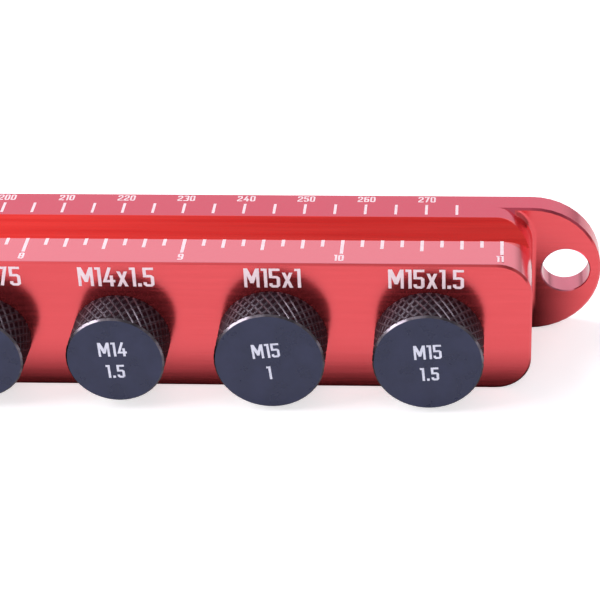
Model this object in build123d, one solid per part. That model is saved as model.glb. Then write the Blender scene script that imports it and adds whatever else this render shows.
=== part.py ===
from build123d import *
import math
import os

# Axle gauge: an anodised aluminium bar with a measuring trough along its top,
# six thread plug gauges screwed into its front face and a hanging lug at its right end.
# Millimetres. X runs along the bar to the right, Y from front to back, Z up.
# The origin is at the bottom centre of the whole gauge.

# Bar
bar_length = 287.2
bar_depth = 22.2
bar_height = 23.5
end_radius = 5.7
edge_chamfer = 0.35

# Trough that an axle lies in, between the two ridges that carry the scales
front_ridge = 7.35
trough_width = 7.55
front_flank_angle = 45.0
rear_flank_angle = 45.0
trough_bottom_radius = 0.4

# Hanging lug, which carries the back of the bar on past its right end in a half round
lug_thickness = 4.4
lug_overlap = 12.0
lug_root_radius = 1.0
hanging_hole_radius = 4.0
hanging_hole_from_end = 5.9
hanging_hole_chamfer = 0.15

# Plug gauges: diameters of their threads and heads
m12_thread = 12.0
m14_thread = 14.0
m15_thread = 15.0
m12_head = 14.9
m14_head = 15.7
m15_head = 17.6

# Plug gauges: lengths and edges that all of them share
head_length = 7.0
head_front_chamfer = 0.3
head_back_chamfer = 0.2
stud_length = 18.0
stud_end_chamfer = 1.2
stud_below_size = 0.03
neck_length = 1.6
neck_depth = 1.1

# Holes in the bar that the plug gauges screw into
hole_above_size = 0.03
hole_mouth_chamfer = 0.3
wall_below_holes = 2.07

# Steps from the bar's right end to the first plug gauge, and from one to the next
end_to_first_plug = 16.4
m15_to_m15_step = 25.1
m15_to_m14_step = 24.5
m14_to_m12_step = 22.2
m12_to_m12_step = 22.2

# How far cutters run past what they cut, and how close two places count as the same
cut_margin = 2.0
same_place = 0.001

# Places worked out from the sizes
lug_reach = bar_height / 2
left_end_x = -(bar_length + lug_reach) / 2
right_end_x = left_end_x + bar_length
front_face_y = (head_length - bar_depth) / 2
back_face_y = front_face_y + bar_depth
lug_front_y = back_face_y - lug_thickness
mid_height = bar_height / 2
trough_front_y = front_face_y + front_ridge
trough_back_y = trough_front_y + trough_width
plug_axis_z = wall_below_holes + m15_thread / 2 + hole_above_size

# Plug gauges from right to left: name, thread, head, step from the one before
plug_gauges = [
    ("plug_m15x1_5", m15_thread, m15_head, end_to_first_plug),
    ("plug_m15x1", m15_thread, m15_head, m15_to_m15_step),
    ("plug_m14x1_5", m14_thread, m14_head, m15_to_m14_step),
    ("plug_m12x1_75", m12_thread, m12_head, m14_to_m12_step),
    ("plug_m12x1_5", m12_thread, m12_head, m12_to_m12_step),
    ("plug_m12x1", m12_thread, m12_head, m12_to_m12_step),
]


def facing_front(y):
    """A sketch plane at a depth y that faces the front, with X to the right and Z up."""
    return Plane(origin=(0, y, 0), x_dir=(1, 0, 0), z_dir=(0, -1, 0))


def chamfer_outline(prism):
    """Break the outline edges of a prism that runs from front to back."""
    faces = prism.faces().sort_by(Axis.Y)
    edges = faces[0].outer_wire().edges() + faces[-1].outer_wire().edges()
    return chamfer(edges, edge_chamfer)


def make_block():
    """The full-depth block of the bar, with its four end corners rounded."""
    middle = Pos((left_end_x + right_end_x) / 2, mid_height)
    outline = middle * RectangleRounded(bar_length, bar_height, end_radius)
    return chamfer_outline(extrude(facing_front(front_face_y) * outline, -bar_depth))


def make_lug():
    """The half-round plate at the back that reaches past the bar's right end."""
    straight = Pos(right_end_x - lug_overlap / 2, mid_height) * Rectangle(lug_overlap, bar_height)
    top = (right_end_x, bar_height)
    tip = (right_end_x + lug_reach, mid_height)
    bottom = (right_end_x, 0)
    half_round = make_face(ThreePointArc(top, tip, bottom) + Line(bottom, top))
    outline = straight + half_round
    return chamfer_outline(extrude(facing_front(lug_front_y) * outline, -lug_thickness))


def round_lug_root(bar):
    """Fillet the inner corner between the rounded end of the bar and the lug's front."""
    corner = []
    for edge in bar.edges():
        box = edge.bounding_box()
        on_lug_front = abs(box.center().Y - lug_front_y) < same_place and box.size.Y < same_place
        on_end = right_end_x - end_radius < box.center().X < right_end_x + same_place
        upright = box.size.Z > same_place
        if on_lug_front and on_end and upright:
            corner.append(edge)
    return fillet(corner, lug_root_radius)


def make_trough_cutter():
    """The prism that cuts the trough, a V with a small radius at its bottom."""
    front_slope = math.tan(math.radians(front_flank_angle))
    rear_slope = math.tan(math.radians(rear_flank_angle))
    vertex_from_front = trough_width * rear_slope / (front_slope + rear_slope)
    vertex = (trough_front_y + vertex_from_front, bar_height - vertex_from_front * front_slope)
    lip_z = bar_height + cut_margin
    vee = FilletPolyline(
        (trough_front_y - cut_margin / front_slope, lip_z),
        vertex,
        (trough_back_y + cut_margin / rear_slope, lip_z),
        radius=trough_bottom_radius,
    )
    outline = make_face(vee + Line(vee @ 1, vee @ 0))
    start_x = left_end_x - cut_margin
    side_plane = Plane(origin=(start_x, 0, 0), x_dir=(0, 1, 0), z_dir=(1, 0, 0))
    return extrude(side_plane * outline, bar_length + 2 * cut_margin)


def make_bored_hole(x, z, front_y, radius, length, mouth_chamfer):
    """A cutter for a round hole that runs from front to back, with both mouths chamfered."""
    outline = Polyline(
        (0, -cut_margin),
        (radius + mouth_chamfer + cut_margin, -cut_margin),
        (radius, mouth_chamfer),
        (radius, length - mouth_chamfer),
        (radius + mouth_chamfer + cut_margin, length + cut_margin),
        (0, length + cut_margin),
        (0, -cut_margin),
    )
    turned = revolve(Plane.XY * make_face(outline), Axis.Y)
    return Pos(x, front_y, z) * turned


def plug_gauge_places():
    """The name, thread, head and X of each plug gauge, stepping in from the right end."""
    places = []
    x = right_end_x
    for name, thread_diameter, head_diameter, step in plug_gauges:
        x -= step
        places.append((name, thread_diameter, head_diameter, x))
    return places


def make_bar():
    """The bar with its trough, its lug, the hanging hole and the plug gauge holes."""
    bar = round_lug_root(make_block() + make_lug())
    bar = bar - make_trough_cutter()
    bar = bar - make_bored_hole(
        right_end_x + hanging_hole_from_end,
        mid_height,
        lug_front_y,
        hanging_hole_radius,
        lug_thickness,
        hanging_hole_chamfer,
    )
    for _, thread_diameter, _, x in plug_gauge_places():
        bar = bar - make_bored_hole(
            x,
            plug_axis_z,
            front_face_y,
            thread_diameter / 2 + hole_above_size,
            bar_depth,
            hole_mouth_chamfer,
        )
    return bar


def make_plug_gauge(thread_diameter, head_diameter, x):
    """A plug gauge, turned in one piece: a round head, a relief neck and the stud."""
    head_radius = head_diameter / 2
    stud_radius = thread_diameter / 2 - stud_below_size
    neck_radius = stud_radius - neck_depth
    outline = Polyline(
        (0, -head_length),
        (head_radius - head_front_chamfer, -head_length),
        (head_radius, head_front_chamfer - head_length),
        (head_radius, -head_back_chamfer),
        (head_radius - head_back_chamfer, 0),
        (neck_radius, 0),
        (neck_radius, neck_length),
        (stud_radius, neck_length + neck_depth),
        (stud_radius, stud_length - stud_end_chamfer),
        (stud_radius - stud_end_chamfer, stud_length),
        (0, stud_length),
        (0, -head_length),
    )
    turned = revolve(Plane.XY * make_face(outline), Axis.Y)
    return Pos(x, front_face_y, plug_axis_z) * turned


os.makedirs("parts", exist_ok=True)
export_step(make_bar(), "parts/bar.step")
for name, thread_diameter, head_diameter, x in plug_gauge_places():
    export_step(make_plug_gauge(thread_diameter, head_diameter, x), f"parts/{name}.step")
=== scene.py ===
"""Looks of an axle gauge: a red anodised bar with scales, six black plug gauges and a hanging lug."""
import enum
import logging
import math
from dataclasses import dataclass, field

import bmesh
import bpy
import numpy as np
from mathutils import Matrix, Vector


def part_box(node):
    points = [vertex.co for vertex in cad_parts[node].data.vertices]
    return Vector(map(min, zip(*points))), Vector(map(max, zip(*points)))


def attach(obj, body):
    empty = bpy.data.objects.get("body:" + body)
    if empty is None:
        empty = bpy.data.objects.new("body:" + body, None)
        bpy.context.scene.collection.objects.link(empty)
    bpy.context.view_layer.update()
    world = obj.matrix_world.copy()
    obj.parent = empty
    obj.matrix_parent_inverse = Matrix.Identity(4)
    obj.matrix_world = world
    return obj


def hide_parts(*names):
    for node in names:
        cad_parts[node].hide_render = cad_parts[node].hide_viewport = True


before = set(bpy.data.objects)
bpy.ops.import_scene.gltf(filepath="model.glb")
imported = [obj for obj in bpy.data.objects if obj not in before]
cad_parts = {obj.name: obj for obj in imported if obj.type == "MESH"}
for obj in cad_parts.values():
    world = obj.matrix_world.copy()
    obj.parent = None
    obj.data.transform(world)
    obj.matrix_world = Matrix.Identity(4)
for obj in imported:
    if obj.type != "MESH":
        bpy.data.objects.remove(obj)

log = logging.getLogger("axle_gauge")

Socket = bpy.types.NodeSocket
Material = bpy.types.Material

MM = 0.001
WHITE = (1, 1, 1, 1)


class Slot(enum.Enum):
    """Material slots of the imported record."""

    BAR = "bar"
    PLUGS = "plugs"
    MARKS = "marks"


class Cap(enum.Enum):
    """How a stroke of a figure ends, in half strokes beyond its last point."""

    SQUARE = 1.0
    FLUSH = 0.0
    BUTT = -1.0


# Mesh helpers


def add_object(name: str, data: bpy.types.ID) -> bpy.types.Object:
    """Make an object from its data and put it into the scene.

    Args:
        name: the object's name.
        data: its mesh, lamp or camera.

    Returns:
        The object, at the origin and unturned.
    """
    made = bpy.data.objects.new(name, data)
    bpy.context.scene.collection.objects.link(made)
    return made


def make_piece(name: str, points: np.ndarray, faces: list, body: str) -> bpy.types.Object:
    """Make a mesh piece that rides on a body of the model, and report it.

    Args:
        name: the piece's name.
        points: vertices in millimetres, one row each.
        faces: lists of vertex numbers.
        body: the body that it rides on.

    Returns:
        The new object, at the origin and unturned.
    """
    mesh = bpy.data.meshes.new(name)
    mesh.from_pydata((points * MM).tolist(), [], faces)
    mesh.update()
    piece = add_object(name, mesh)
    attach(piece, body)
    log.info("made %s with %d faces, riding on %s", name, len(faces), body)
    return piece


def close_surface(piece: bpy.types.Object, gap: float = 0.00001) -> None:
    """Merge a piece's vertices that lie at one place and turn all its faces outwards.

    Args:
        piece: the piece, a closed shell once its seams are merged.
        gap: the largest distance between merged vertices, in metres. Edges and faces that are left
            with less than a tenth of it are dropped.
    """
    work = bmesh.new()
    work.from_mesh(piece.data)
    bmesh.ops.remove_doubles(work, verts=work.verts, dist=gap)
    bmesh.ops.dissolve_degenerate(work, dist=gap / 10, edges=work.edges)
    bmesh.ops.recalc_face_normals(work, faces=work.faces)
    work.to_mesh(piece.data)
    work.free()
    piece.data.update()


def shade_by_angle(piece: bpy.types.Object, degrees: float) -> None:
    """Shade a piece smooth, but for its sharp edges.

    Args:
        piece: the piece.
        degrees: the angle between two faces past which their edge is sharp.
    """
    mesh = piece.data
    mesh.polygons.foreach_set("use_smooth", np.ones(len(mesh.polygons), bool))
    mesh.set_sharp_from_angle(angle=math.radians(degrees))


def grid_quads(rows: int, columns: int, closed: bool) -> np.ndarray:
    """Number the corners of the quads of a grid of vertices.

    Args:
        rows: rows of vertices.
        columns: vertices in each row.
        closed: whether the last column joins the first one.

    Returns:
        Four vertex numbers for each quad, in one row of quads for each strip between two rows.
    """
    wide = columns if closed else columns - 1
    row, column = np.meshgrid(np.arange(rows - 1), np.arange(wide), indexing="ij")
    after = (column + 1) % columns
    low, high = row * columns, (row + 1) * columns
    return np.stack([low + column, low + after, high + after, high + column], axis=-1)


# Shader helpers


class NodeTree:
    """A node tree with short ways to add and join its nodes."""

    def __init__(self, tree: bpy.types.NodeTree) -> None:
        """Take hold of an empty tree."""
        self.tree = tree

    def add(self, kind: str, **settings: object) -> bpy.types.Node:
        """Add a node, with its properties and its unlinked inputs.

        Args:
            kind: the node's type name.
            **settings: properties by name, or inputs by label with spaces as underscores.

        Returns:
            The new node.
        """
        node = self.tree.nodes.new(kind)
        for name, value in settings.items():
            label = name.replace("_", " ")
            if label in node.inputs:
                node.inputs[label].default_value = value
            else:
                setattr(node, name, value)
        return node

    def join(self, source: Socket, target: Socket) -> None:
        """Link one socket to another."""
        self.tree.links.new(source, target)

    def feed(self, value: object, target: Socket) -> None:
        """Give an input its value.

        Args:
            value: a socket to link or a plain value to set.
            target: the input.
        """
        if isinstance(value, Socket):
            self.join(value, target)
        else:
            target.default_value = value

    def position(self) -> Socket:
        """Give the shaded point's Object coordinates, in metres."""
        return self.add("ShaderNodeTexCoord").outputs["Object"]

    def math(self, operation: str, first: object, second: object = 0.0) -> Socket:
        """Add a Math node.

        Args:
            operation: what it works out.
            first: its first value, a socket or a number.
            second: its second value, a socket or a number.

        Returns:
            Its result.
        """
        node = self.add("ShaderNodeMath", operation=operation)
        self.feed(first, node.inputs[0])
        self.feed(second, node.inputs[1])
        return node.outputs[0]

    def vector(self, operation: str, first: Socket, second: object = (0, 0, 0)) -> Socket:
        """Add a Vector Math node.

        Args:
            operation: what it works out.
            first: its first vector.
            second: its second vector, a socket or three numbers.

        Returns:
            Its result, which is a number for a length or a dot product.
        """
        node = self.add("ShaderNodeVectorMath", operation=operation)
        self.feed(first, node.inputs[0])
        self.feed(second, node.inputs[1])
        return node.outputs["Value" if operation in ("LENGTH", "DOT_PRODUCT") else "Vector"]

    def noise(self, where: Socket, scale: object, detail: float, roughness: float = 0.5) -> Socket:
        """Add a noise.

        Args:
            where: the place at which it is read.
            scale: how fine it is, a socket or a number.
            detail: how many finer noises are laid over it.
            roughness: how much each finer one counts.

        Returns:
            Its value, from 0 to 1.
        """
        node = self.add("ShaderNodeTexNoise", Detail=detail, Roughness=roughness)
        self.join(where, node.inputs["Vector"])
        self.feed(scale, node.inputs["Scale"])
        return node.outputs["Fac"]

    def remap(self, value: Socket, span: tuple, to: tuple = (0.0, 1.0)) -> Socket:
        """Carry a value smoothly from one span of numbers to another.

        Args:
            value: the value.
            span: its two limits.
            to: what it becomes at each of them.

        Returns:
            The result.
        """
        node = self.add(
            "ShaderNodeMapRange",
            interpolation_type="SMOOTHSTEP",
            From_Min=span[0],
            From_Max=span[1],
            To_Min=to[0],
            To_Max=to[1],
        )
        self.join(value, node.inputs["Value"])
        return node.outputs["Result"]

    def between(self, value: Socket, low: float, high: float) -> Socket:
        """Give 1 where a value lies between two limits and 0 elsewhere."""
        above = self.math("GREATER_THAN", value, low)
        return self.math("MULTIPLY", above, self.math("LESS_THAN", value, high))

    def mix(self, factor: object, first: object, second: object) -> Socket:
        """Mix two colours. The node's colour inputs are numbers 6 and 7, and its colour output is 2.

        Args:
            factor: the share of the second one.
            first: a colour, a socket or a tuple.
            second: a colour, a socket or a tuple.

        Returns:
            The mixed colour.
        """
        node = self.add("ShaderNodeMix", data_type="RGBA")
        self.feed(factor, node.inputs[0])
        self.feed(first, node.inputs[6])
        self.feed(second, node.inputs[7])
        return node.outputs[2]

    def blend(self, factor: Socket, first: Socket, second: Socket) -> Socket:
        """Mix two shaders.

        Args:
            factor: the share of the second one.
            first: a shader.
            second: a shader.

        Returns:
            The mixed shader.
        """
        node = self.add("ShaderNodeMixShader")
        for source, target in zip((factor, first, second), node.inputs):
            self.join(source, target)
        return node.outputs[0]


class Finish:
    """A new material with a Principled shader, and short ways to fill it."""

    def __init__(self, name: str, **constants: object) -> None:
        """Start a material.

        Args:
            name: the material's name.
            **constants: values for the shader's own inputs, by label with spaces as underscores.
        """
        self.material = bpy.data.materials.new(name)
        self.material.use_nodes = True
        self.nodes = NodeTree(self.material.node_tree)
        self.shader = self.material.node_tree.nodes["Principled BSDF"]
        for label, value in constants.items():
            self.shader.inputs[label.replace("_", " ")].default_value = value

    def place(self, group: bpy.types.NodeTree, **inputs: float) -> tuple[Socket, ...]:
        """Place a shared effect in the material.

        Args:
            group: the effect's node group.
            **inputs: this material's own values for the group's inputs.

        Returns:
            The group's outputs, in order.
        """
        node = self.nodes.add("ShaderNodeGroup")
        node.node_tree = group
        for label, value in inputs.items():
            node.inputs[label].default_value = value
        return tuple(node.outputs)

    def set(self, label: str, value: Socket) -> None:
        """Feed one of the shader's inputs."""
        self.nodes.join(value, self.shader.inputs[label])

    def bump(self, height: Socket, distance: float) -> None:
        """Feed the shader's normal from a height.

        Args:
            height: the height, from 0 to 1.
            distance: what a height of 1 stands for, in metres.
        """
        node = self.nodes.add("ShaderNodeBump", Strength=1.0, Distance=distance)
        self.nodes.join(height, node.inputs["Height"])
        self.set("Normal", node.outputs["Normal"])


def start_group(name: str, inputs: dict, outputs: tuple) -> tuple[NodeTree, bpy.types.Node, bpy.types.Node]:
    """Start a shader node group with number inputs and outputs.

    Args:
        name: the group's name.
        inputs: default value of each input by its label.
        outputs: labels of the outputs.

    Returns:
        The group's tree, its input node and its output node.
    """
    tree = bpy.data.node_groups.new(name, "ShaderNodeTree")
    for label, value in inputs.items():
        socket = tree.interface.new_socket(label, in_out="INPUT", socket_type="NodeSocketFloat")
        socket.default_value = value
    for label in outputs:
        tree.interface.new_socket(label, in_out="OUTPUT", socket_type="NodeSocketFloat")
    nodes = NodeTree(tree)
    return nodes, nodes.add("NodeGroupInput"), nodes.add("NodeGroupOutput")


def brushed_group() -> bpy.types.NodeTree:
    """Build the node group for fine lines left by brushing along X.

    Noises on Object coordinates are stretched far along X: one of hair-fine lines, one of wider bands.

    Returns:
        The group, with inputs Fineness and Length and outputs Lines and Bands, each from 0 to 1.
    """
    inputs = {"Fineness": 6000.0, "Length": 80.0}
    nodes, given, result = start_group("brushed_along_x", inputs, ("Lines", "Bands"))
    place = nodes.position()
    for label, across_share, along_share in (("Lines", 1.0, 1.0), ("Bands", 0.2, 0.15)):
        across = nodes.math("MULTIPLY", given.outputs["Fineness"], across_share)
        along = nodes.math("MULTIPLY", given.outputs["Length"], along_share)
        scales = nodes.add("ShaderNodeCombineXYZ")
        for source, target in zip((along, across, across), scales.inputs):
            nodes.join(source, target)
        stretched = nodes.vector("MULTIPLY", place, scales.outputs[0])
        nodes.join(nodes.noise(stretched, scale=1.0, detail=2.0, roughness=0.6), result.inputs[label])
    return nodes.tree


def handling_group() -> bpy.types.NodeTree:
    """Build the node group for soft uneven patches left by handling.

    Returns:
        The group, with an input Scale and an output Patches, from 0 to 1.
    """
    nodes, given, result = start_group("handling", {"Scale": 60.0}, ("Patches",))
    patches = nodes.noise(nodes.position(), given.outputs["Scale"], detail=4.0, roughness=0.55)
    nodes.join(patches, result.inputs["Patches"])
    return nodes.tree


def grain_group() -> bpy.types.NodeTree:
    """Build the node group for a fine even grain, as on blasted or blackened metal.

    Returns:
        The group, with an input Fineness and an output Grain, from 0 to 1.
    """
    nodes, given, result = start_group("grain", {"Fineness": 9000.0}, ("Grain",))
    grain = nodes.noise(nodes.position(), given.outputs["Fineness"], detail=2.0)
    nodes.join(grain, result.inputs["Grain"])
    return nodes.tree


class EffectGroups:
    """The shader node groups that several finishes share."""

    def __init__(self) -> None:
        """Build each group once."""
        self.brushed = brushed_group()
        self.handling = handling_group()
        self.grain = grain_group()


# Finishes


@dataclass(frozen=True)
class AnodisedRed:
    """Red dyed anodising on brushed aluminium: a metal under a thin clear oxide.

    The trough's walls are a deeper, more saturated red than the outer faces: partly their own
    dyed tone, partly a painted reflection of the red wall facing them. The tops carry painted sheen,
    paler on the front ridge, where axles are laid across, than on the top behind the trough.
    Places are in metres. A span is the part of a noise's values that is stretched over a whole range.
    """

    deep: tuple = (0.80, 0.062, 0.074, 1.0)
    bright: tuple = (0.92, 0.095, 0.115, 1.0)
    # Partly painted reflection: the trough's red is deeper and more saturated, standing in part for the
    # facing wall's reflected red.
    trough_deep: tuple = (0.84, 0.004, 0.002, 1.0)
    trough_bright: tuple = (0.99, 0.030, 0.024, 1.0)
    bore: tuple = (0.65, 0.15, 0.225, 1.0)
    # Painted sheen: the ridge and rear colours lighten the tops to a pale pink, as a light's reflection
    # would.
    ridge: tuple = (0.85, 0.20, 0.26, 1.0)
    rear: tuple = (0.69, 0.070, 0.130, 1.0)
    trough_middle: float = 0.003525
    trough_rise: tuple = (0.01965, 0.01990)
    ridge_across: tuple = (-0.0073, -0.00025)
    rear_across: tuple = (0.0073, 0.01455)
    top_heights: tuple = (0.0165, 0.0205)
    lug_face_across: tuple = (0.0073, 0.01025)
    lug_along: tuple = (0.1350, 0.160)
    bore_axis: tuple = (0.143575, 0.0, 0.01175)
    bore_radius: float = 0.00418
    metallic: float = 0.95
    edge_tint: tuple = (0.96, 0.60, 0.66, 1.0)
    roughness: tuple = (0.15, 0.25)
    patch_scale: float = 45.0
    sharp_span: tuple = (0.3, 0.7)
    soft_span: tuple = (0.25, 0.75)
    shade_shares: tuple = (0.4, 0.3, 0.3)
    line_height: float = 0.000006
    coat_roughness: float = 0.15
    coat_ior: float = 1.45
    stretch: float = 0.5

    def dye(self, nodes: NodeTree, shade: Socket, bands: Socket) -> Socket:
        """Change the colour by place: painted sheen on the tops, a deeper red that is partly painted
        reflection on the trough's walls, and a colour in the hanging hole.

        Args:
            nodes: the material's nodes.
            shade: how bright the dyed red is on the outer faces, from 0 to 1.
            bands: the wider bands of the brushing, which streak the trough.

        Returns:
            The colour at each place.
        """
        place = nodes.position()
        split = nodes.add("ShaderNodeSeparateXYZ")
        nodes.join(place, split.inputs[0])
        along, across, height = split.outputs
        outside = nodes.mix(shade, self.deep, self.bright)
        # Painted sheen on the tops of the front ridge and of the rear, but not on the lug's face.
        high = nodes.remap(height, self.top_heights)
        on_ridge_sheen = nodes.math("MULTIPLY", nodes.between(across, *self.ridge_across), high)
        at_lug = nodes.between(along, *self.lug_along)
        on_lug_face = nodes.math("MULTIPLY", nodes.between(across, *self.lug_face_across), at_lug)
        on_rear_sheen = nodes.math("SUBTRACT", nodes.between(across, *self.rear_across), on_lug_face)
        on_rear_sheen = nodes.math("MULTIPLY", on_rear_sheen, high)
        tops = nodes.mix(on_rear_sheen, nodes.mix(on_ridge_sheen, outside, self.ridge), self.rear)
        # The trough's walls: their own streaked red, deepened in part as a painted reflection of the facing
        # wall.
        off_middle = nodes.math("ABSOLUTE", nodes.math("SUBTRACT", across, self.trough_middle))
        in_trough = nodes.between(nodes.math("SUBTRACT", height, off_middle), *self.trough_rise)
        streaks = nodes.remap(bands, self.soft_span)
        walls = nodes.mix(in_trough, tops, nodes.mix(streaks, self.trough_deep, self.trough_bright))
        off_axis = nodes.vector("MULTIPLY", nodes.vector("SUBTRACT", place, self.bore_axis), (1, 0, 1))
        in_bore = nodes.math("LESS_THAN", nodes.vector("LENGTH", off_axis), self.bore_radius)
        return nodes.mix(in_bore, walls, self.bore)

    def build(self, effects: EffectGroups) -> Material:
        """Build the material: brush lines shift its colour, roughness and bump.

        Args:
            effects: the shared node groups.

        Returns:
            The material.
        """
        finish = Finish(
            "anodised_red",
            Metallic=self.metallic,
            Specular_Tint=self.edge_tint,
            Coat_Weight=1.0,
            Coat_Roughness=self.coat_roughness,
            Coat_IOR=self.coat_ior,
            Anisotropic=self.stretch,
        )
        nodes = finish.nodes
        lines, bands = finish.place(effects.brushed)
        (patches,) = finish.place(effects.handling, Scale=self.patch_scale)
        parts = (nodes.remap(lines, self.sharp_span), bands, patches)
        fine, wide, soft = (nodes.math("MULTIPLY", *pair) for pair in zip(parts, self.shade_shares))
        shade = nodes.math("ADD", nodes.math("ADD", fine, wide), soft)
        # The base colour carries painted sheen on the tops and a partly painted reflection in the trough.
        finish.set("Base Color", self.dye(nodes, shade, bands))
        finish.set("Roughness", nodes.remap(lines, self.soft_span, self.roughness))
        finish.bump(lines, self.line_height)
        tangent = nodes.add("ShaderNodeTangent", direction_type="RADIAL", axis="X")
        finish.set("Tangent", tangent.outputs["Tangent"])
        return finish.material


@dataclass(frozen=True)
class BlackOxide:
    """Blue-black oxide on turned steel, worn towards bare metal where the part is marked as bare.

    A span is the part of a noise's values that is stretched over a whole range.
    """

    name: str
    colour: tuple = (0.010, 0.013, 0.048, 1.0)
    dusty: tuple = (0.016, 0.019, 0.062, 1.0)
    bare: tuple = (0.62, 0.54, 0.64, 1.0)
    specular: float = 0.5
    roughness: tuple = (0.26, 0.36)
    bare_roughness: float = 0.2
    bare_gain: float = 4.0
    patch_scale: float = 260.0
    patch_span: tuple = (0.3, 0.7)
    wear_scale: float = 700.0
    wear_span: tuple = (0.38, 0.62)
    wear_levels: tuple = (0.55, 1.0)
    grain_height: float = 0.000003

    def build(self, effects: EffectGroups) -> Material:
        """Build the material: patches of handling on the oxide, and metal by the bare attribute.

        Args:
            effects: the shared node groups.

        Returns:
            The material.
        """
        finish = Finish(self.name, Specular_IOR_Level=self.specular)
        nodes = finish.nodes
        (patches,) = finish.place(effects.handling, Scale=self.patch_scale)
        (wear,) = finish.place(effects.handling, Scale=self.wear_scale)
        marked = nodes.add("ShaderNodeAttribute", attribute_name="bare").outputs["Fac"]
        bare = nodes.math("MULTIPLY", marked, nodes.remap(wear, self.wear_span, self.wear_levels))
        oxide = nodes.mix(nodes.remap(patches, self.patch_span), self.colour, self.dusty)
        finish.set("Base Color", nodes.mix(bare, oxide, self.bare))
        metal = nodes.add("ShaderNodeMath", operation="MULTIPLY", use_clamp=True)
        nodes.join(marked, metal.inputs[0])
        metal.inputs[1].default_value = self.bare_gain
        finish.set("Metallic", metal.outputs[0])
        rough = nodes.remap(patches, self.patch_span, self.roughness)
        smoother = nodes.math("SUBTRACT", self.bare_roughness, rough)
        smoother = nodes.math("MULTIPLY", metal.outputs[0], smoother)
        finish.set("Roughness", nodes.math("ADD", rough, smoother))
        finish.bump(*finish.place(effects.grain), self.grain_height)
        return finish.material


@dataclass(frozen=True)
class WhiteMark:
    """The matt white of the laser-cut scale marks and figures."""

    name: str
    colour: tuple = (0.98, 0.78, 0.83, 1.0)
    worn: tuple = (0.88, 0.67, 0.73, 1.0)
    roughness: float = 0.55
    patch_scale: float = 900.0
    patch_span: tuple = (0.25, 0.6)
    grain_height: float = 0.000002

    def build(self, effects: EffectGroups) -> Material:
        """Build the material: white with slight unevenness and a fine grain.

        Args:
            effects: the shared node groups.

        Returns:
            The material.
        """
        finish = Finish(self.name, Roughness=self.roughness)
        (patches,) = finish.place(effects.handling, Scale=self.patch_scale)
        shade = finish.nodes.remap(patches, self.patch_span)
        finish.set("Base Color", finish.nodes.mix(shade, self.worn, self.colour))
        finish.bump(*finish.place(effects.grain), self.grain_height)
        return finish.material


# Figures


@dataclass(frozen=True)
class Stroke:
    """One stroke of a figure.

    Its points lie in a unit box between its centre lines, cuts are the points whose corners are
    slanted off, and each end has its cap.
    """

    points: tuple
    cuts: tuple = ()
    start: Cap = Cap.SQUARE
    end: Cap = Cap.SQUARE
    closed: bool = False


@dataclass(frozen=True)
class Glyph:
    """A figure: its width in cap heights, its strokes, and any solid outlines in the box."""

    width: float
    strokes: tuple = ()
    outlines: tuple = ()


RING = ((0, 0), (1, 0), (1, 1), (0, 1))
ALL_FOUR = (0, 1, 2, 3)
GLYPHS = {
    "0": Glyph(0.50, (Stroke(RING, ALL_FOUR, closed=True),)),
    "1": Glyph(0.27, (Stroke(((0, 1), (1, 1), (1, 0))),)),
    "2": Glyph(0.50, (Stroke(((0, 0.8), (0, 1), (1, 1), (1, 0.6), (0, 0.16), (0, 0), (1, 0)), (1, 2)),)),
    "3": Glyph(
        0.50,
        (
            Stroke(((0, 1), (1, 1), (1, 0), (0, 0)), (1, 2)),
            Stroke(((0.3, 0.52), (1, 0.52)), start=Cap.FLUSH, end=Cap.BUTT),
        ),
    ),
    "4": Glyph(
        0.545,
        (
            Stroke(((0.60, 1.0), (0.0, 0.24), (1.0, 0.24))),
            Stroke(((0.78, 0.58), (0.78, 0.24)), start=Cap.FLUSH, end=Cap.BUTT),
            Stroke(((0.78, 0.24), (0.78, 0.0)), start=Cap.BUTT),
        ),
    ),
    "5": Glyph(
        0.49,
        (Stroke(((1, 1), (0, 1), (0, 0.56), (1, 0.56), (1, 0), (0, 0), (0, 0.12)), (3, 4, 5)),),
    ),
    "6": Glyph(
        0.50,
        (Stroke(((1, 1), (0, 1), (0, 0), (1, 0), (1, 0.54), (0, 0.54)), (1, 2, 3, 4), end=Cap.BUTT),),
    ),
    "7": Glyph(0.47, (Stroke(((0, 1), (1, 1), (0.36, 0))),)),
    "8": Glyph(
        0.50,
        (
            Stroke(RING, ALL_FOUR, closed=True),
            Stroke(((0, 0.52), (1, 0.52)), start=Cap.BUTT, end=Cap.BUTT),
        ),
    ),
    "9": Glyph(
        0.50,
        (Stroke(((0, 0), (1, 0), (1, 1), (0, 1), (0, 0.46), (1, 0.46)), (1, 2, 3, 4), end=Cap.BUTT),),
    ),
    "M": Glyph(
        0.695,
        outlines=(
            (
                (0, 0), (0, 1), (0.25, 1), (0.51, 0.56), (0.77, 1), (1, 1), (1, 0),
                (0.80, 0), (0.80, 0.60), (0.62, 0.22), (0.41, 0.22), (0.20, 0.60), (0.20, 0),
            ),
        ),
    ),
    "x": Glyph(
        0.50,
        outlines=(
            (
                (0, 0), (0.325, 0.395), (0.02, 0.79), (0.32, 0.79), (0.5, 0.56), (0.68, 0.79),
                (0.98, 0.79), (0.675, 0.395), (1, 0), (0.69, 0), (0.5, 0.235), (0.31, 0),
            ),
        ),
    ),
    ".": Glyph(0.17, outlines=(((0, 0), (1, 0), (1, 0.17), (0, 0.17)),)),
}


@dataclass(frozen=True)
class Ground:
    """A flat ground for marks: its origin and its directions across, up and outwards."""

    origin: tuple
    across: tuple
    up: tuple
    out: tuple

    def lift(self, flat: np.ndarray, height: float) -> np.ndarray:
        """Carry flat points onto the ground, at a height above it."""
        origin, across, up, out = np.array((self.origin, self.across, self.up, self.out), float)
        return origin + flat[:, :1] * across + flat[:, 1:2] * up + height * out


@dataclass(frozen=True)
class Lettering:
    """The size of a line of figures, in millimetres, and its pen.

    The pen is wider across than up by its contrast, and gaps are in cap heights.
    """

    cap: float
    stroke: float
    contrast: float = 1.3
    gap: float = 0.07
    corner: float = 0.5


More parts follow.
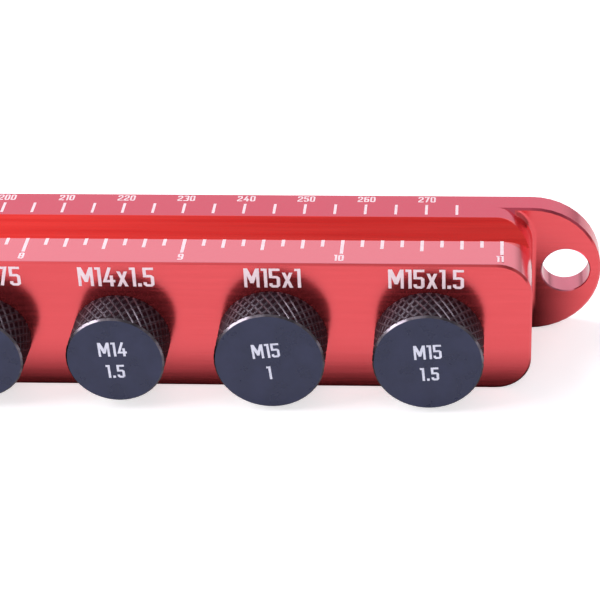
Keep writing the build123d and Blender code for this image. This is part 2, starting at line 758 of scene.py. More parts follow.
@dataclass
class Marking:
    """Thin raised marks, built up as closed plates on a ground. Lengths are in millimetres.

    The spread is the least cosine by which a corner's shift is divided, so none runs far out.
    """

    ground: Ground
    raise_by: float = 0.012
    sink_by: float = 0.03
    spread: float = 0.45
    points: list = field(default_factory=list)
    faces: list = field(default_factory=list)
    count: int = 0

    def add_plate(self, outline: np.ndarray) -> None:
        """Add a closed plate with a flat outline: a top, a bottom and a wall round them.

        Args:
            outline: flat points in order round the plate.
        """
        ahead = np.roll(outline, -1, axis=0)
        area = np.sum(outline[:, 0] * ahead[:, 1] - ahead[:, 0] * outline[:, 1])
        flat = outline if area > 0 else outline[::-1]
        size = len(flat)
        self.points += [self.ground.lift(flat, self.raise_by), self.ground.lift(flat, -self.sink_by)]
        top = self.count + np.arange(size)
        low = top + size
        walls = np.stack([top, low, np.roll(low, -1), np.roll(top, -1)], axis=1)
        self.faces += [top.tolist(), low[::-1].tolist()] + walls.tolist()
        self.count += 2 * size

    def add_ring(self, outer: np.ndarray, inner: np.ndarray) -> None:
        """Add a closed plate with a hole.

        Four loops are joined in turn: outer and inner at the top, and inner and outer at the bottom.

        Args:
            outer: flat points in order round the plate.
            inner: as many points round its hole.
        """
        size = len(outer)
        levels = (self.raise_by, self.raise_by, -self.sink_by, -self.sink_by)
        outlines = (outer, inner, inner, outer)
        self.points += [self.ground.lift(outline, level) for outline, level in zip(outlines, levels)]
        loops = self.count + np.arange(4 * size).reshape(4, size)
        after = np.roll(loops, -1, axis=1)
        quads = np.stack([loops, after, np.roll(after, -1, axis=0), np.roll(loops, -1, axis=0)], axis=-1)
        self.faces += quads.reshape(-1, 4).tolist()
        self.count += 4 * size

    def runs(self, path: np.ndarray) -> np.ndarray:
        """The unit direction from each point of a path to the next, and from the last to the first."""
        step = np.roll(path, -1, axis=0) - path
        return step / np.linalg.norm(step, axis=1)[:, None]

    def cut_corners(self, path: np.ndarray, stroke: Stroke, size: float) -> np.ndarray:
        """Slant off the chosen corners of a path: each becomes two points, one back and one ahead.

        Args:
            path: the path's points.
            stroke: the stroke, which says where it is cut.
            size: how far the two points lie from the corner.

        Returns:
            The new path.
        """
        ahead = self.runs(path)
        back = -np.roll(ahead, 1, axis=0)
        cut = np.isin(np.arange(len(path)), stroke.cuts)
        pairs = np.stack([path + back * size * cut[:, None], path + ahead * size * cut[:, None]], axis=1)
        keep = np.stack([np.ones(len(path), bool), cut], axis=1)
        return pairs[keep]

    def offset(self, path: np.ndarray, distance: float, closed: bool) -> np.ndarray:
        """Shift a path sideways: each point moves along the mean of its two runs' normals.

        The shift is the distance over the cosine of half the turn, so that the runs keep their width.

        Args:
            path: the path's points.
            distance: how far to its left the path moves.
            closed: whether the last point joins the first one.

        Returns:
            The shifted points.
        """
        ahead = self.runs(path)
        normals = np.stack([-ahead[:, 1], ahead[:, 0]], axis=1)
        before = np.roll(normals, 1, axis=0)
        if not closed:
            before[0] = normals[0]
            normals[-1] = before[-1]
        mean = before + normals
        mean = mean / np.linalg.norm(mean, axis=1)[:, None]
        stretch = np.sum(mean * normals, axis=1)
        return path + mean * (distance / np.maximum(stretch, self.spread))[:, None]

    def add_stroke(self, stroke: Stroke, box: tuple, pen: Lettering) -> None:
        """Add one stroke of a figure.

        The stroke is drawn with a round pen on a box that is taller by the pen's contrast, and the
        outline is then pressed back, so that runs across are thinner than runs up.

        Args:
            stroke: the stroke, in a unit box between its centre lines.
            box: left, bottom, width and height of the figure.
            pen: the size of the lettering.
        """
        left, bottom, wide, tall = box
        half = pen.stroke / 2
        press = np.array([1.0, 1 / pen.contrast])
        room = np.array([wide, tall]) - pen.stroke * press
        path = (np.array(stroke.points, float) * room + (left, bottom) + half * press) / press
        if not stroke.closed:
            for end, other, cap in ((0, 1, stroke.start), (-1, -2, stroke.end)):
                run = path[end] - path[other]
                path[end] = path[end] + run / np.linalg.norm(run) * half * cap.value
        path = self.cut_corners(path, stroke, pen.stroke * pen.corner)
        left_side = self.offset(path, half, stroke.closed) * press
        right_side = self.offset(path, -half, stroke.closed) * press
        if stroke.closed:
            self.add_ring(right_side, left_side)
        else:
            self.add_plate(np.vstack([left_side, right_side[::-1]]))

    def add_text(self, text: str, centre: tuple, pen: Lettering) -> None:
        """Add a line of figures centred on a place.

        Args:
            text: the figures.
            centre: flat place of the line's middle.
            pen: the size of the lettering.
        """
        glyphs = [GLYPHS[letter] for letter in text]
        gap = pen.gap * pen.cap
        full = sum(glyph.width for glyph in glyphs) * pen.cap + gap * (len(glyphs) - 1)
        x = centre[0] - full / 2
        bottom = centre[1] - pen.cap / 2
        for glyph in glyphs:
            wide = glyph.width * pen.cap
            for stroke in glyph.strokes:
                self.add_stroke(stroke, (x, bottom, wide, pen.cap), pen)
            for outline in glyph.outlines:
                self.add_plate(np.array(outline, float) * (wide, pen.cap) + (x, bottom))
            x += wide + gap

    def add_tick(self, x: float, start: float, end: float, width: float) -> None:
        """Add a tick across the ground at a place, from one distance up it to another."""
        half = width / 2
        self.add_plate(np.array([(x - half, start), (x + half, start), (x + half, end), (x - half, end)]))

    def finish(self, name: str, body: str, material: Material) -> bpy.types.Object:
        """Make the piece from all its plates.

        Args:
            name: the piece's name.
            body: the body that it rides on.
            material: its finish.

        Returns:
            The new object.
        """
        piece = make_piece(name, np.vstack(self.points), self.faces, body)
        piece.data.materials.append(material)
        return piece


# The bar


@dataclass
class Bar:
    """The bar's dressing: its finish, its scales and the labels over its holes.

    Sizes are in millimetres. Distances along the bar are from its left end, distances across its
    top from its front face, and heights from its underside.
    """

    front_ridge: float = 7.35
    mm_zero: float = -0.02
    mm_tick_width: float = 0.44
    mm_tick_front: float = 15.72
    mm_tick_back: float = 18.85
    mm_first: int = 10
    mm_last: int = 275
    mm_step: int = 5
    mm_figure_step: int = 10
    mm_last_figure: int = 270
    mm_figure_middle: float = 20.6
    mm_pen: Lettering = Lettering(cap=1.72, stroke=0.28, contrast=1.15, gap=0.10, corner=0.4)
    inch: float = 25.4
    inch_zero: float = 2.93
    inch_tick_width: float = 0.54
    inch_last: int = 11
    inch_parts: int = 8
    inch_lengths: tuple = ((8, 4.15), (4, 3.2), (2, 2.6), (1, 2.0))
    inch_figure_middle: float = 1.95
    inch_figure_shift: float = -0.3
    inch_pen: Lettering = Lettering(cap=1.78, stroke=0.32, contrast=1.15, gap=0.10, corner=0.4)
    label_middle: float = 20.87
    label_pen: Lettering = Lettering(cap=3.51, stroke=0.52, contrast=1.2, gap=0.085, corner=0.5)
    end_clear: float = 6.6

    def __post_init__(self) -> None:
        """Read the bar's place from the model."""
        low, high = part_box("bar")
        self.left = low.x / MM
        self.front = low.y / MM
        self.top = high.z / MM

    def dress(self, material: Material) -> None:
        """Give the bar its finish in place of the record's plain one.

        Args:
            material: the finish.
        """
        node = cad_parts["bar"]
        node.data.materials.clear()
        node.data.materials.append(material)
        log.info("dressed the bar")

    def top_ground(self) -> Ground:
        """The ground on the ridge tops, measured from the left end and the front face."""
        return Ground((self.left, self.front, self.top), (1, 0, 0), (0, 1, 0), (0, 0, 1))

    def front_ground(self) -> Ground:
        """The ground on the front face, measured from the left end and the underside."""
        return Ground((self.left, self.front, 0.0), (1, 0, 0), (0, 0, 1), (0, -1, 0))

    def build_mm_scale(self, material: Material) -> None:
        """Build the millimetre scale: a tick every 5 mm and a figure every 10 mm.

        Args:
            material: the marks' finish.
        """
        marks = Marking(self.top_ground())
        for place in range(self.mm_first, self.mm_last + 1, self.mm_step):
            x = self.mm_zero + place
            marks.add_tick(x, self.mm_tick_front, self.mm_tick_back, self.mm_tick_width)
            if place % self.mm_figure_step == 0 and place <= self.mm_last_figure:
                marks.add_text(str(place), (x, self.mm_figure_middle), self.mm_pen)
        marks.finish("mm_scale", "bar", material)

    def build_inch_scale(self, material: Material) -> None:
        """Build the inch scale: a tick every eighth, longer at quarters, halves and whole inches.

        Args:
            material: the marks' finish.
        """
        marks = Marking(self.top_ground())
        for eighth in range(1, self.inch_last * self.inch_parts + 1):
            x = self.inch_zero + eighth * self.inch / self.inch_parts
            if x < self.end_clear:
                continue
            length = next(long for step, long in self.inch_lengths if eighth % step == 0)
            marks.add_tick(x, self.front_ridge - length, self.front_ridge, self.inch_tick_width)
            if eighth % self.inch_parts == 0:
                text = str(eighth // self.inch_parts)
                shift = self.inch_figure_shift * (len(text) - 1)
                marks.add_text(text, (x + shift, self.inch_figure_middle), self.inch_pen)
        marks.finish("inch_scale", "bar", material)

    def build_labels(self, plugs: list, material: Material) -> None:
        """Build the thread size over each hole on the front face.

        Args:
            plugs: the plug gauges, which know their places and sizes.
            material: the marks' finish.
        """
        marks = Marking(self.front_ground())
        for plug in plugs:
            centre = (plug.centre_x + plug.label_shift - self.left, self.label_middle)
            marks.add_text(plug.label, centre, self.label_pen)
        marks.finish("thread_labels", "bar", material)


# The plug gauges


@dataclass
class PlugGauge:
    """A plug gauge: a head with a diamond-knurled rim and a threaded stud.

    Sizes are in millimetres and angles in degrees. How bare the steel is goes from 0 to 1: one value
    for the bevel at the face, and three for the knurl's flanks that lean back, that lean forward and
    anticlockwise, and that lean forward and clockwise. A thread's depth and crest are in pitches.
    """

    node: str
    diameter: float
    pitch: float
    label: str
    label_shift: float = 0.0
    face_turn: float = 3.0
    face_shift: float = 0.0
    head_length: float = 7.0
    front_bevel: float = 0.35
    back_bevel: float = 0.10
    bevel_lean: float = 0.82
    bevel_rounds: int = 12
    knurl_spacing: float = 1.46
    knurl_angle: float = 31.0
    knurl_depth: float = 0.14
    knurl_steps: int = 8
    knurl_flank: int = 1
    bevel_bare: float = 0.36
    flank_bare: tuple = (0.06, 0.18, 0.16)
    flank_least: float = 0.01
    head_crease: float = 20.0
    stud_length: float = 18.0
    stud_below_size: float = 0.03
    neck_length: float = 1.6
    neck_depth: float = 1.1
    end_bevel: float = 1.2
    bar_depth: float = 22.2
    mouth_bevel: float = 0.35
    thread_clearance: float = 0.04
    lining: float = 0.08
    thread_sides: int = 72
    thread_spare: int = 2
    thread_depth: float = 0.61
    thread_crest: float = 0.125
    flank_angle: float = 30.0
    thread_crease: float = 25.0
    face_pens: tuple = (
        Lettering(cap=2.64, stroke=0.39, contrast=1.1, gap=0.10, corner=0.45),
        Lettering(cap=2.46, stroke=0.39, contrast=1.1, gap=0.13, corner=0.45),
    )
    face_heights: tuple = (2.13, -2.04)

    def __post_init__(self) -> None:
        """Read the plug gauge's place and head size from the model."""
        low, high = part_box(self.node)
        self.centre_x = (low.x + high.x) / 2 / MM
        self.centre_z = (low.z + high.z) / 2 / MM
        self.seat_y = low.y / MM + self.head_length
        self.head_radius = (high.x - low.x) / 2 / MM

    def place(self, radius: np.ndarray, turn: np.ndarray, depth: np.ndarray) -> np.ndarray:
        """Carry points from round the plug gauge's axis into the frame.

        Args:
            radius: distances from the axis.
            turn: angles about it.
            depth: distances behind the seat on the bar's front.

        Returns:
            The points, one row each.
        """
        radius, turn, depth = np.broadcast_arrays(radius, turn, depth)
        x = self.centre_x + radius * np.cos(turn)
        z = self.centre_z + radius * np.sin(turn)
        return np.stack([x, self.seat_y + depth, z], axis=-1).reshape(-1, 3)

    def groove_drop(self, column: np.ndarray, row: np.ndarray) -> np.ndarray:
        """Work out how deep the knurl lies below the rim at places on its net.

        Two families of V grooves run where column plus row, and column less row, are whole numbers of
        knurl steps. The drop is the groove's depth less the slope of its flank times the distance to
        the nearest groove, and never less than nothing.

        Args:
            column: places round the net.
            row: places along it.

        Returns:
            The drop at each place.
        """
        steps = self.knurl_steps
        one, two = column + row, column - row
        off_one = np.abs(one - steps * np.round(one / steps))
        off_two = np.abs(two - steps * np.round(two / steps))
        nearest = np.minimum(off_one, off_two)
        return self.knurl_depth * np.maximum(1 - nearest / self.knurl_flank, 0.0)

    def bevel_row(self, column: np.ndarray, edge: float, step: float, towards: float) -> tuple:
        """Find where the knurl meets a bevel, column by column.

        The bevel's drop is its lean times the distance from the rim's edge, so the place is found by
        stepping as far past the edge as the knurl is deep there, over the lean, again and again.

        Args:
            column: places round the net.
            edge: row of the net at which the bevel starts.
            step: millimetres from one row to the next.
            towards: -1 for the bevel at the face, 1 for the one at the back.

        Returns:
            The row and the drop at each column.
        """
        row = np.full(column.shape, float(edge))
        for _ in range(self.bevel_rounds):
            row = edge + towards * self.groove_drop(column, row) / self.bevel_lean / step
        return row, self.groove_drop(column, row)

    def head_grid(self) -> tuple[np.ndarray, np.ndarray, np.ndarray]:
        """Work out the head as one grid of turn and depth that holds all but the flat ends.

        Its rows are the face's edge, the line where the bevel meets the knurl, the net's rows, and the
        same two at the back.

        Returns:
            The depths, the drops below the rim and the turns of the grid.
        """
        columns = round(math.tau * self.head_radius / self.knurl_spacing) * self.knurl_steps
        turn_step = math.tau / columns
        wanted = self.head_radius * turn_step / math.tan(math.radians(self.knurl_angle))
        start = self.front_bevel - self.head_length
        rim = -self.back_bevel - start
        rows = round(rim / wanted)
        step = rim / rows
        column = np.arange(columns)
        level = np.ones(columns)
        front_row, front_drop = self.bevel_row(column, 0, step, -1.0)
        back_row, back_drop = self.bevel_row(column, rows, step, 1.0)
        net_column, net_row = np.meshgrid(column, np.arange(rows + 1))
        knurled = start + np.vstack([front_row, net_row, back_row]) * step
        depth = np.vstack([-self.head_length * level, knurled, 0 * level])
        front, back = (bevel * self.bevel_lean * level for bevel in (self.front_bevel, self.back_bevel))
        drop = np.vstack([front, front_drop, self.groove_drop(net_column, net_row), back_drop, back])
        return depth, drop, column * turn_step

    def head_faces(self, rows: int, columns: int) -> tuple[np.ndarray, np.ndarray, np.ndarray, np.ndarray]:
        """Number the corners of the head's faces, on its grid and the two centres that follow it.

        A quad of the net is split along the diagonal that lies on a crease of the knurl.

        Args:
            rows: rows of the grid.
            columns: vertices in each row.

        Returns:
            The quads of the two bevels, and the triangles of the net, of the face and of the back.
        """
        quads = grid_quads(rows, columns, True)
        net = quads[1:-1].reshape(-1, 4)
        strip, place = np.divmod(np.arange(len(net)), columns)
        rising = ((strip - 1 + place) % 2 == 0)[:, None]
        first = np.where(rising, net[:, [0, 1, 2]], net[:, [0, 1, 3]])
        second = np.where(rising, net[:, [0, 2, 3]], net[:, [1, 2, 3]])
        edge = np.arange(columns)
        back_edge = edge + (rows - 1) * columns
        centre = np.full(columns, rows * columns)
        face = np.stack([centre, np.roll(edge, -1), edge], axis=1)
        back = np.stack([centre + 1, back_edge, np.roll(back_edge, -1)], axis=1)
        return np.concatenate([quads[0], quads[-1]]), np.concatenate([first, second]), face, back

    def bare_flanks(self, points: np.ndarray, drop: np.ndarray, net: np.ndarray) -> np.ndarray:
        """Work out how bare the net's triangles are: not at all on the diamonds, but on their flanks.

        A flank is a triangle with a corner below the rim. Its outward normal says how it leans: towards
        the face or the back, and by its cross product with the spoke, clockwise or anticlockwise.

        Args:
            points: the head's points, with the centre of the back last.
            drop: how far each point lies below the rim.
            net: the triangles.

        Returns:
            A value from 0 to 1 for each triangle.
        """
        on_flank = drop[net].max(axis=1) > self.flank_least * self.knurl_depth
        one, two, three = (points[net[:, corner]] for corner in range(3))
        outward = np.cross(two - one, three - one)
        spoke = (one - points[-1]) * (1, 0, 1)
        outward *= np.sign(np.sum(outward * spoke, axis=1))[:, None]
        clockwise = outward[:, 0] * spoke[:, 2] > outward[:, 2] * spoke[:, 0]
        lean = (outward[:, 1] < 0) * (1 + clockwise)
        return on_flank * np.array(self.flank_bare)[lean]

    def build_head(self, face_black: Material, rim_black: Material) -> None:
        """Build the head: a flat face, a bevel, a knurled rim, a bevel and a flat back.

        Args:
            face_black: the face's finish.
            rim_black: the finish of all the rest.
        """
        depth, drop, turn = self.head_grid()
        columns = len(turn)
        centres = self.place(np.zeros(2), 0.0, np.array([-self.head_length, 0.0]))
        points = np.vstack([self.place(self.head_radius - drop, turn, depth), centres])
        bevels, net, face, back = self.head_faces(*depth.shape)
        flanks = self.bare_flanks(points, np.append(drop, np.zeros(2)), net)
        bevel = np.full(columns, self.bevel_bare)
        bare = np.concatenate([bevel, np.zeros(columns), flanks, np.zeros(2 * columns)])
        finishes = np.ones(len(bare), int)
        finishes[-2 * columns : -columns] = 0
        faces = bevels.tolist() + net.tolist() + face.tolist() + back.tolist()
        piece = make_piece(f"{self.node}_head", points, faces, self.node)
        mesh = piece.data
        mesh.materials.append(face_black)
        mesh.materials.append(rim_black)
        mesh.polygons.foreach_set("material_index", finishes)
        mesh.attributes.new("bare", "FLOAT", "FACE").data.foreach_set("value", bare)
        close_surface(piece)
        shade_by_angle(piece, self.head_crease)
        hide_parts(self.node)

    def thread_section(self) -> tuple[np.ndarray, np.ndarray]:
        """Work out the thread's section over one pitch: a flat crest, a flank, a flat root and a flank.

        Returns:
            The corners' places along the pitch, as shares of it, and their depths below the crest.
        """
        depth = self.thread_depth * self.pitch
        flank = depth * math.tan(math.radians(self.flank_angle)) / self.pitch
        crest = self.thread_crest
        return np.array([0.0, crest, crest + flank, 1 - flank]), np.array([0.0, 0.0, depth, depth])

    def thread_grid(self, start: float, end: float) -> tuple[np.ndarray, np.ndarray, np.ndarray]:
        """Work out a helical thread between two depths, as a grid of section corners by turns.

        A row follows one corner of the section round the axis: its depth is the pitch times the
        corner's place in the section plus the share of a turn, held between the two depths. The last
        column lies at the turn of the first and one section further on, so rows join in a helix. Spare
        sections before and after are held at the ends. Seen from the face, the depth grows with an
        anticlockwise turn, which makes the helix left-handed, where the real one is right-handed.

        Args:
            start: depth of the thread's first end.
            end: depth of its last end.

        Returns:
            The depths, the drops below the crest and the turns of the grid.
        """
        shares, drops = self.thread_section()
        lead = math.ceil(start / self.pitch) - self.thread_spare
        sections = math.ceil((end - start) / self.pitch) + 2 * self.thread_spare
        corner = (lead + np.arange(sections)[:, None] + shares).reshape(-1, 1)
        turn = np.linspace(0.0, 1.0, self.thread_sides + 1)
        depth = np.clip(self.pitch * (corner + turn), start, end)
        drop = np.tile(drops, sections)[:, None] + 0 * depth
        return depth, drop, turn * math.tau

    def build_stud(self, material: Material) -> None:
        """Build the stud: a relief neck, a helical thread and a bevelled end.

        A radius of the grid is the lesser of the thread's and the turned outline's. The outline keeps
        to the neck, then widens as fast as it goes deeper, and narrows as fast towards the end.

        Args:
            material: the stud's finish.
        """
        crest = self.diameter / 2 - self.stud_below_size
        neck = crest - self.neck_depth
        tip = crest - self.end_bevel
        depth, drop, turn = self.thread_grid(0.0, self.stud_length)
        shoulder = np.maximum(neck, neck + depth - self.neck_length)
        outline = np.minimum(shoulder, tip + self.stud_length - depth)
        radius = np.minimum(crest - drop, outline)
        radius = np.where(depth <= 0.0, neck, radius)
        radius = np.where(depth >= self.stud_length, tip, radius)
        self.finish_tube(f"{self.node}_stud", depth, radius, turn, self.node, Slot.PLUGS, material)

    def finish_tube(
        self,
        name: str,
        depth: np.ndarray,
        radius: np.ndarray,
        turn: np.ndarray,
        body: str,
        slot: Slot,
        material: Material,
        bore: float = 0.0,
    ) -> None:
        """Close a helical grid into a piece, with flat ends or with a plain wall round it.

        Args:
            name: the piece's name.
            depth: depths of the grid.
            radius: radii of the grid.
            turn: turns of the grid's columns.
            body: the body that the piece rides on.
            slot: the record's material slot.
            material: its finish.
            bore: radius of the plain wall that closes it, or 0 for a point on the axis.
        """
        rows, columns = depth.shape
        ends = depth[[0, -1]]
        rings = self.place(np.full(ends.shape, bore), turn, ends)
        grid = self.place(radius, turn, depth)
        points = np.vstack([rings[:columns], grid, rings[columns:]])
        faces = grid_quads(rows + 2, columns, False).reshape(-1, 4).tolist()
        if bore:
            edge = np.arange(columns - 1)
            last = (rows + 1) * columns
            faces += np.stack([edge, edge + 1, last + edge + 1, last + edge], axis=1).tolist()
        piece = make_piece(name, points, faces, body)
        piece.data.materials.append(material)
        close_surface(piece)
        shade_by_angle(piece, self.thread_crease)
        if slot is Slot.PLUGS:
            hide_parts(self.node)

    def build_inner_thread(self, material: Material) -> None:
        """Build the thread in the bar's hole: the stud's thread, wider all round by a clearance.

        It lines the hole from mouth to mouth and is closed by a plain wall just inside the metal.

        Args:
            material: the bar's finish.
        """
        wall = self.diameter / 2 + self.stud_below_size + self.lining
        crest = self.diameter / 2 - self.stud_below_size + self.thread_clearance
        depth, drop, turn = self.thread_grid(self.mouth_bevel, self.bar_depth - self.mouth_bevel)
        name = f"{self.node}_hole_thread"
        self.finish_tube(name, depth, crest - drop, turn, "bar", Slot.BAR, material, wall)

    def build_figures(self, material: Material) -> None:
        """Build the two lines of figures on the head's face: the thread size and its pitch.

        Args:
            material: the figures' finish.
        """
        turn = math.radians(self.face_turn)
        across = (math.cos(turn), 0, math.sin(turn))
        up = (-math.sin(turn), 0, math.cos(turn))
        face = Ground((self.centre_x, self.seat_y - self.head_length, self.centre_z), across, up, (0, -1, 0))
        marks = Marking(face)
        for text, height, pen in zip(self.label.split("x"), self.face_heights, self.face_pens):
            marks.add_text(text, (self.face_shift, height), pen)
        marks.finish(f"{self.node}_figures", self.node, material)

    def build(self, finishes: dict) -> None:
        """Build the whole plug gauge and the thread that it screws into.

        Args:
            finishes: the materials by their use.
        """
        self.build_head(finishes["face"], finishes["rim"])
        self.build_stud(finishes["rim"])
        self.build_inner_thread(finishes["bar"])
        self.build_figures(finishes["figures"])


# The studio


@dataclass(frozen=True)
class Lamp:
    """A square area lamp: its place, its aim and its size in metres, and its power in watts."""

    name: str
    place: tuple
    aim: tuple
    size: float
    power: float

    def build(self) -> None:
        """Add the lamp to the scene, turned towards its aim."""
        data = bpy.data.lights.new(self.name, "AREA")
        data.shape = "SQUARE"
        data.size = self.size
        data.energy = self.power
        lamp = add_object(self.name, data)
        lamp.location = self.place
        lamp.rotation_mode = "QUATERNION"
        lamp.rotation_quaternion = (Vector(self.aim) - Vector(self.place)).to_track_quat("-Z", "Y")


@dataclass
class Studio:
    """Floor, light and camera.

    Lengths are in metres unless a name says otherwise, and angles in radians. The foot is the bar's
    underside, as two corners on the floor. A dim patch of the sky has its direction, the span of the
    cosine to it over which it deepens, and how much it takes away.
    """

    focal_px: float = 1962.66
    frame_px: float = 600.0
    sensor_mm: float = 36.0
    yaw: float = -0.04503
    pitch: float = 0.55912
    roll: float = -0.01627
    camera_mm: tuple = (130.679, -269.283, 184.352)
    centre_px: tuple = (413.02, 281.41)
    clip: tuple = (0.01, 50.0)
    floor_size: float = 8.0
    floor_colour: tuple = (0.91, 0.91, 0.93, 1.0)
    floor_roughness: float = 0.9
    floor_seen: float = 0.58
    fade_reach: tuple = (0.03, 0.50)
    mirror_levels: tuple = (0.0, 0.93)
    mirror_reach: tuple = (0.0, 0.0128)
    foot: tuple = ((-0.1495, -0.0076), (0.1375, 0.0146))
    sky_colour: tuple = (0.90, 0.91, 1.0, 1.0)
    sky_strength: float = 0.34
    dim_patches: tuple = (
        ((0.25, -0.25, 0.93), (0.80, 0.93), 0.52),
        ((0.80, -0.35, 0.50), (0.62, 0.90), 0.60),
    )
    low_span: tuple = (-0.05, 0.32)
    low_level: float = 0.35
    lamps: tuple = (
        Lamp("left_behind", (-0.42, 0.38, 0.90), (0.08, 0.0, 0.0), size=0.4, power=5.5),
        Lamp("left", (-0.72, -0.12, 0.56), (0.05, 0.0, 0.01), size=0.65, power=6.0),
        Lamp("low_front", (0.10, -1.10, 0.30), (0.05, 0.0, 0.01), size=0.8, power=5.5),
    )

    def build_camera(self) -> None:
        """Build the camera at the photograph's place: turned by yaw, pitch and roll, then shifted."""
        yaw, pitch, roll = self.yaw, self.pitch, self.roll
        ahead = Vector((math.sin(yaw) * math.cos(pitch), math.cos(yaw) * math.cos(pitch), -math.sin(pitch)))
        level = Vector((math.cos(yaw), -math.sin(yaw), 0.0))
        upright = level.cross(ahead)
        across = level * math.cos(roll) + upright * math.sin(roll)
        upwards = upright * math.cos(roll) - level * math.sin(roll)
        data = bpy.data.cameras.new("camera")
        data.sensor_width = self.sensor_mm
        data.lens = self.focal_px * self.sensor_mm / self.frame_px
        data.shift_x = (self.frame_px / 2 - self.centre_px[0]) / self.frame_px
        data.shift_y = (self.centre_px[1] - self.frame_px / 2) / self.frame_px
        data.clip_start, data.clip_end = self.clip
        camera = add_object("camera", data)
        turned = Matrix((across, upwards, -ahead)).transposed().to_4x4()
        turned.translation = Vector(self.camera_mm) * MM
        camera.matrix_world = turned
        bpy.context.scene.camera = camera

    def foot_distance(self, nodes: NodeTree) -> Socket:
        """Measure the distance on the floor from the bar's foot.

        It is the length of what a place's distances from the foot's middle exceed half its size by.

        Args:
            nodes: the floor's nodes.

        Returns:
            The distance in metres, 0 under the bar.
        """
        low, high = np.array(self.foot)
        off_middle = nodes.vector("SUBTRACT", nodes.position(), (*(low + high) / 2, 0.0))
        beyond = nodes.vector("SUBTRACT", nodes.vector("ABSOLUTE", off_middle), (*(high - low) / 2, 0.0))
        return nodes.vector("LENGTH", nodes.vector("MAXIMUM", beyond, (0, 0, 0)))

    def build_floor(self) -> None:
        """Build a pale floor that shows as white away from the object's shadow.

        Reflections see it glow evenly, with a painted shadow that darkens it close round the foot of the
        bar, where little light would get in.
        """
        half = self.floor_size / 2
        mesh = bpy.data.meshes.new("floor")
        corners = [(-half, -half, 0), (half, -half, 0), (half, half, 0), (-half, half, 0)]
        mesh.from_pydata(corners, [], [(0, 1, 2, 3)])
        floor = add_object("floor", mesh)
        paper = Finish("floor_paper", Base_Color=self.floor_colour, Roughness=self.floor_roughness)
        nodes = paper.nodes
        rays = nodes.add("ShaderNodeLightPath")
        mirrored = nodes.math("ADD", rays.outputs["Is Glossy Ray"], rays.outputs["Is Transmission Ray"])
        glow = nodes.add("ShaderNodeEmission", Color=WHITE)
        away = self.foot_distance(nodes)
        seen = nodes.remap(away, self.fade_reach, (self.floor_seen, 1.0))
        nodes.join(nodes.math("MULTIPLY", rays.outputs["Is Camera Ray"], seen), glow.inputs["Strength"])
        both = nodes.add("ShaderNodeAddShader")
        nodes.join(paper.shader.outputs[0], both.inputs[0])
        nodes.join(glow.outputs[0], both.inputs[1])
        # What reflections see: an even glow with a painted shadow close round the bar's foot.
        painted_shadow_glow = nodes.add("ShaderNodeEmission", Color=WHITE)
        nodes.join(nodes.remap(away, self.mirror_reach, self.mirror_levels), painted_shadow_glow.inputs["Strength"])
        pick = nodes.blend(mirrored, both.outputs[0], painted_shadow_glow.outputs[0])
        nodes.join(pick, paper.material.node_tree.nodes["Material Output"].inputs["Surface"])
        mesh.materials.append(paper.material)

    def build_sky(self) -> None:
        """Build the world: a pale sky for light, and white behind the object and in its reflections.

        Reflections dim overhead, at the right in front and towards the horizon, as in a room with pale
        screens behind and at the left.
        """
        world = bpy.data.worlds.new("sky")
        bpy.context.scene.world = world
        world.use_nodes = True
        nodes = NodeTree(world.node_tree)
        sky = world.node_tree.nodes["Background"]
        sky.inputs["Color"].default_value = self.sky_colour
        sky.inputs["Strength"].default_value = self.sky_strength
        white = nodes.add("ShaderNodeBackground", Color=WHITE)
        rays = nodes.add("ShaderNodeLightPath")
        glossy = rays.outputs["Is Glossy Ray"]
        aim = nodes.add("ShaderNodeTexCoord").outputs["Generated"]
        split = nodes.add("ShaderNodeSeparateXYZ")
        nodes.join(aim, split.inputs[0])
        mirrored = nodes.remap(split.outputs["Z"], self.low_span, (self.low_level, 1.0))
        for side, span, loss in self.dim_patches:
            towards = nodes.vector("DOT_PRODUCT", aim, side)
            left_over = nodes.remap(towards, span, (1.0, 1.0 - loss))
            mirrored = nodes.math("MULTIPLY", mirrored, left_over)
        loss = nodes.math("MULTIPLY", glossy, nodes.math("SUBTRACT", 1.0, mirrored))
        nodes.join(nodes.math("SUBTRACT", 1.0, loss), white.inputs["Strength"])
        straight = nodes.math("MAXIMUM", rays.outputs["Is Camera Ray"], rays.outputs["Is Transmission Ray"])
        seen = nodes.math("MAXIMUM", straight, glossy)
        pick = nodes.blend(seen, sky.outputs[0], white.outputs[0])
        nodes.join(pick, world.node_tree.nodes["World Output"].inputs["Surface"])

    def build(self) -> None:
        """Build the camera, the floor, the sky and the soft lamps."""
        bpy.context.scene.view_settings.view_transform = "Standard"
        self.build_camera()
        self.build_floor()
        self.build_sky()
        for lamp in self.lamps:
            lamp.build()
        log.info("built the studio")


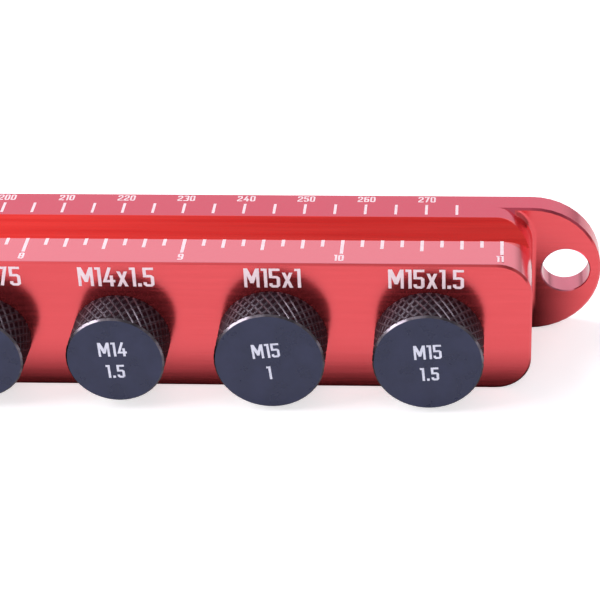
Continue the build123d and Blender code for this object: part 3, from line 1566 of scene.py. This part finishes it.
def main() -> None:
    """Build the looks of the gauge piece by piece."""
    logging.basicConfig(level=logging.INFO, format="%(name)s: %(message)s")
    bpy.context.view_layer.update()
    Studio().build()
    effects = EffectGroups()
    finishes = {
        "bar": AnodisedRed().build(effects),
        "face": BlackOxide("black_face").build(effects),
        "rim": BlackOxide(
            "black_rim",
            colour=(0.006, 0.003, 0.006, 1.0),
            dusty=(0.012, 0.006, 0.011, 1.0),
            specular=0.06,
            roughness=(0.5, 0.6),
        ).build(effects),
        "marks": WhiteMark("white_mark").build(effects),
        # A dimmer, bluer copy of the marks' white: the figures carry painted shade for the light on the
        # heads' faces.
        "figures": WhiteMark(
            "shaded_white_figure",
            colour=(0.70, 0.70, 0.82, 1.0),
            worn=(0.58, 0.58, 0.70, 1.0),
        ).build(effects),
    }
    plugs = [
        PlugGauge("plug_m12x1", 12.0, 1.0, "M12x1"),
        PlugGauge("plug_m12x1_5", 12.0, 1.5, "M12x1.5"),
        PlugGauge("plug_m12x1_75", 12.0, 1.75, "M12x1.75", label_shift=0.07),
        PlugGauge("plug_m14x1_5", 14.0, 1.5, "M14x1.5", label_shift=0.1, face_turn=2.0, face_shift=-0.12),
        PlugGauge("plug_m15x1", 15.0, 1.0, "M15x1", label_shift=0.45, face_turn=5.5, face_shift=-0.22),
        PlugGauge("plug_m15x1_5", 15.0, 1.5, "M15x1.5", label_shift=-0.38, face_turn=4.0, face_shift=0.12),
    ]
    bar = Bar()
    bar.dress(finishes["bar"])
    bar.build_mm_scale(finishes["marks"])
    bar.build_inch_scale(finishes["marks"])
    bar.build_labels(plugs, finishes["marks"])
    for plug in plugs:
        plug.build(finishes)


if __name__ == "__main__":
    main()
